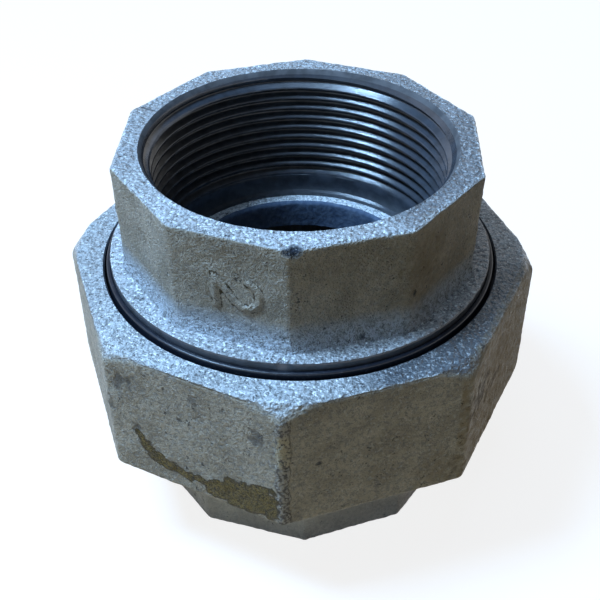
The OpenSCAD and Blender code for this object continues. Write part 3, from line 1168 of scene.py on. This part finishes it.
zinc_upper = cast_zinc(
    "zinc_upper", (0.57, 0.59, 0.62), (0.46, 0.47, 0.485), 1.6, 0.38, 0.74, marked=True
)
zinc_nut = cast_zinc(
    "zinc_nut", (0.62, 0.645, 0.665), (0.49, 0.505, 0.515), 0.35, 0.65, 0.79, marked=True, pale=0.8
)
# The lower end's zinc is paler than that of the other castings: painted light for what the floor
# throws into its shade
zinc_lower = cast_zinc(
    "zinc_lower", (0.74, 0.755, 0.76), (0.64, 0.65, 0.655), 0.2, 0.32, 0.35
)
# Turned, shaded, bright and cut surfaces inside the castings: painted shade on the waterway's
# wall, painted light on the shoulder
inside = [
    turned_iron("turned_iron", (0.052, 0.06, 0.076), 0.17, 0.75),
    dull_bore(),
    # A far paler copy of the cast zinc for the shoulder in the bore: painted light
    cast_zinc("zinc_shoulder", (0.84, 0.88, 0.92), (0.70, 0.74, 0.78), 0.3, 0.4, 0.5),
    turned_iron("cut_iron", (0.15, 0.143, 0.147), 0.42, 0.02),
]
piece(
    "tailpiece_casting", tailpiece(), "tailpiece", "tailpiece",
    [zinc_upper, *inside], marks=barrel_marks, dents=BARREL_DENTS, numeral=True,
)
piece(
    "nut_casting", union_nut(), "union_nut", "union_nut",
    [zinc_nut, *inside], marks=nut_marks,
)
piece(
    "lower_casting", lower_body(), "lower_body", "lower_body",
    [zinc_lower, *inside],
)
piece(
    "collar_ring", insulating_collar(), "tailpiece", "insulating_collar",
    [black_plastic()],
)
piece("gasket_ring", gasket(), "lower_body", "gasket", [black_rubber()])

# Floor and backdrop: one bowl, white to the eye and dim brown in the light that it throws back

BOWL_R, BOWL_ROUND, BOWL_H = 1500.0, 500.0, 900.0
BOWL_RINGS = [0.02, 0.1, 0.3, 0.6]
FLOOR_BOUNCE = (0.46, 0.285, 0.13)
FLOOR_GREY, FLOOR_GLOW = 0.25, 0.84
# The floor inside the bore lies in the dark. There, and in all the light that the floor throws
# back,
# it has a faint blue glow of its own: painted light
UNDER_R = 31.0
FLOOR_BLUE_GLOW = (0.006, 0.012, 0.024)


def pale_floor():
    """White to the eye and in reflections, but for the floor inside the bore."""
    look = Look("pale_floor")

    def glowing(colour, glow, strength):
        """A matt shader with a glow of its own."""
        matt = look.add("BsdfDiffuse", {"Color": (*colour, 1)}).outputs[0]
        light = look.add("Emission", {"Color": (*glow, 1), "Strength": strength}).outputs[0]
        return look.add("AddShader", {0: matt, 1: light}).outputs[0]

    rays = look.add("LightPath").outputs
    seen = look.plus(rays["Is Camera Ray"], rays["Is Glossy Ray"])
    seen = look.math("MINIMUM", look.plus(seen, rays["Is Transmission Ray"]), 1.0)
    x, y, _ = look.add("SeparateXYZ", {0: look.place}).outputs
    across = look.add("CombineXYZ", {0: x, 1: y}).outputs[0]
    away = look.add("VectorMath", {0: across}, operation="LENGTH").outputs["Value"]
    seen = look.times(seen, look.math("GREATER_THAN", away, UNDER_R))
    unseen = glowing(FLOOR_BOUNCE, FLOOR_BLUE_GLOW, 1.0)
    white = glowing((FLOOR_GREY,) * 3, (1, 1, 1), FLOOR_GLOW)
    shader = look.add("MixShader", {0: seen, 1: unseen, 2: white}).outputs[0]
    output = look.add("OutputMaterial")
    look.tree.links.new(shader, output.inputs["Surface"])
    return look.material


def bowl():
    """A round floor that curves up into a wall."""
    skin = Skin()
    angles = round_angles()
    profile = [(BOWL_R * share, 0.0) for share in BOWL_RINGS]
    for sine, cosine in quarter(9):
        profile.append((BOWL_R - BOWL_ROUND * (1 - sine), BOWL_ROUND * (1 - cosine)))
    profile.append((BOWL_R, BOWL_H))
    rings = [skin.ring(angles, radius, height) for radius, height in profile]
    skin.chain(rings)
    skin.faces.append(tuple(rings[0].ids.tolist()))
    mesh = bpy.data.meshes.new("floor_bowl")
    mesh.from_pydata((np.concatenate(skin.points) * MM).tolist(), [], skin.faces)
    mesh.shade_smooth()
    mesh.materials.append(pale_floor())
    made = place("floor_bowl", mesh)


bowl()

# Lamps and world

AIM = Vector((0, 0, 45))
WORLD_TONE = (0.045, 0.05, 0.055)


def lamp(name, azimuth, elevation, distance, size, power, colour):
    """A square area lamp aimed at the part. Azimuth goes counter-clockwise from +X."""
    a, e = math.radians(azimuth), math.radians(elevation)
    way = Vector((math.cos(a) * math.cos(e), math.sin(a) * math.cos(e), math.sin(e)))
    data = bpy.data.lights.new(name, "AREA")
    data.size = size * MM
    data.energy = power
    data.color = colour
    made = place(name, data)
    made.rotation_euler = way.to_track_quat("Z", "Y").to_euler()
    made.location = (AIM + way * distance) * MM
    made.visible_camera = False


# Azimuth and elevation in degrees, distance and size in millimetres, power in watts
lamp("window", 190, 63, 600, 160, 5.9, (0.40, 0.66, 1.0))
lamp("sky", 160, 82, 800, 500, 1.6, (0.50, 0.72, 1.0))
lamp("room", 236, 22, 900, 400, 0.75, (0.48, 0.75, 1.0))

world = bpy.data.worlds.new("studio")
world.use_nodes = True
world.node_tree.nodes["Background"].inputs["Color"].default_value = (*WORLD_TONE, 1)
bpy.context.scene.world = world

# Camera

CAMERA_AZIMUTH, CAMERA_ELEVATION, CAMERA_ROLL = 2.978, 38.457, -0.402
CAMERA_DISTANCE, CAMERA_TARGET = 216.45, Vector((0, 0, 37.66))
LENS, SENSOR = 60.70, 36.0


def camera():
    a, e, r = (math.radians(v) for v in (CAMERA_AZIMUTH, CAMERA_ELEVATION, CAMERA_ROLL))
    back = Vector((math.sin(a) * math.cos(e), -math.cos(a) * math.cos(e), math.sin(e)))
    right = Vector((math.cos(a), math.sin(a), 0))
    up = back.cross(right)
    right, up = right * math.cos(r) + up * math.sin(r), up * math.cos(r) - right * math.sin(r)
    data = bpy.data.cameras.new("photo_camera")
    data.lens, data.sensor_width, data.sensor_fit = LENS, SENSOR, "HORIZONTAL"
    data.clip_start, data.clip_end = 0.01, 20
    made = place("photo_camera", data)
    turned = Matrix((right, up, back)).transposed().to_4x4()
    made.matrix_world = Matrix.Translation((CAMERA_TARGET + back * CAMERA_DISTANCE) * MM) @ turned
    bpy.context.scene.camera = made


camera()
bpy.context.scene.view_settings.view_transform = "Standard"
